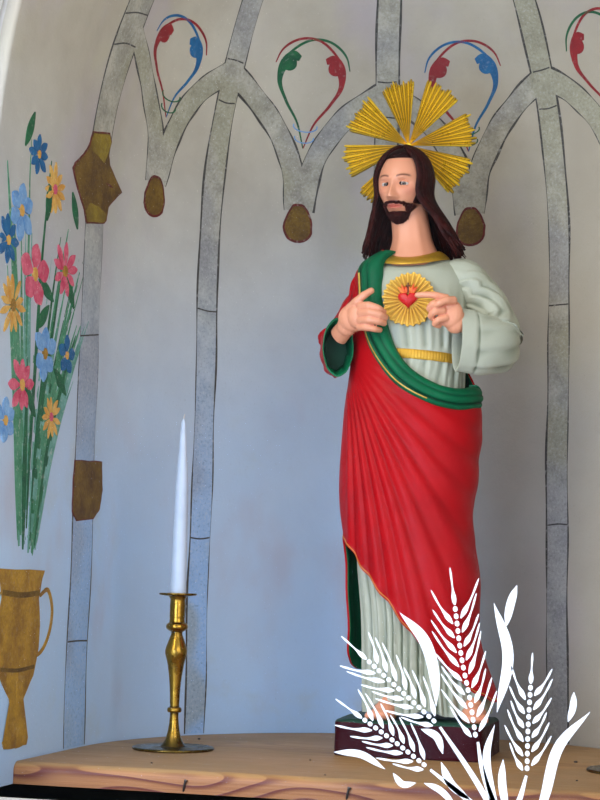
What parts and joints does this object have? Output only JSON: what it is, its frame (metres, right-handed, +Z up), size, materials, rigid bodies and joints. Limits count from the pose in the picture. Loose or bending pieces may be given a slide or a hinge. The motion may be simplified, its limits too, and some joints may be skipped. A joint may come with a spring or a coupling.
{
  "type": "glazed wayside shrine niche with a statue",
  "caption": "Arched masonry niche of a wayside shrine behind a glass front: painted ribs, pine shelf, brass candlesticks and a painted devotional statue with a gilt nimbus.",
  "frame": {"origin": "centre of the underside of the whole housing", "axes": "+Z up, +X to the right along the glazed front, +Y from the glazed front into the niche"},
  "size_m": [1.148, 0.9649, 1.648],
  "materials": {
    "plaster": "lime plaster with a brushed lime wash",
    "wall_paint": "matt mineral paint on plaster",
    "pine": "planed pine, thin varnish",
    "frame_wood": "dark stained softwood",
    "glass": "clear window glass",
    "etching": "white frosted lines on the pane",
    "brass": "tarnished turned brass",
    "wax": "white candle wax",
    "wick": "waxed cotton",
    "plinth_paint": "dark oil paint on wood",
    "robe_paint": "satin oil paint on carved wood",
    "mantle_paint": "satin oil paint on carved wood",
    "lining_paint": "satin oil paint on carved wood",
    "skin_paint": "satin oil paint on carved wood",
    "hair_paint": "satin oil paint on carved wood",
    "gilding": "worn gilding",
    "heart_paint": "glossy oil paint",
    "iron": "dark iron nails"
  },
  "bodies": {
    "root": {"base_block": "plaster", "left_jamb": "plaster", "right_jamb": "plaster", "vault_left_haunch": "plaster", "vault_crown": "plaster", "vault_right_haunch": "plaster", "apse_wall_1": "plaster", "apse_wall_2": "plaster", "apse_wall_3": "plaster", "apse_wall_4": "plaster", "apse_wall_5": "plaster", "apse_vault_1": "plaster", "apse_vault_2": "plaster", "apse_vault_3": "plaster", "apse_vault_4": "plaster", "apse_vault_5": "plaster", "shelf": "pine", "sill_board": "pine", "frame_left_post": "frame_wood", "frame_right_post": "frame_wood", "frame_arch": "frame_wood", "frame_sill": "frame_wood", "glass_pane": "glass", "left_candlestick": "brass", "right_candlestick": "brass", "left_candle": "wax", "right_candle": "wax", "statue_plinth": "plinth_paint", "tunic": "robe_paint", "left_sleeve": "robe_paint", "mantle": "mantle_paint", "right_sleeve": "mantle_paint", "mantle_lining": "lining_paint", "head": "skin_paint", "feet": "skin_paint", "left_hand": "skin_paint", "right_hand": "skin_paint", "hair": "hair_paint", "belt": "gilding", "collar": "gilding", "heart_rays": "gilding", "nimbus": "gilding", "nimbus_pin": "gilding", "heart": "heart_paint"}
  },
  "joints": []
}
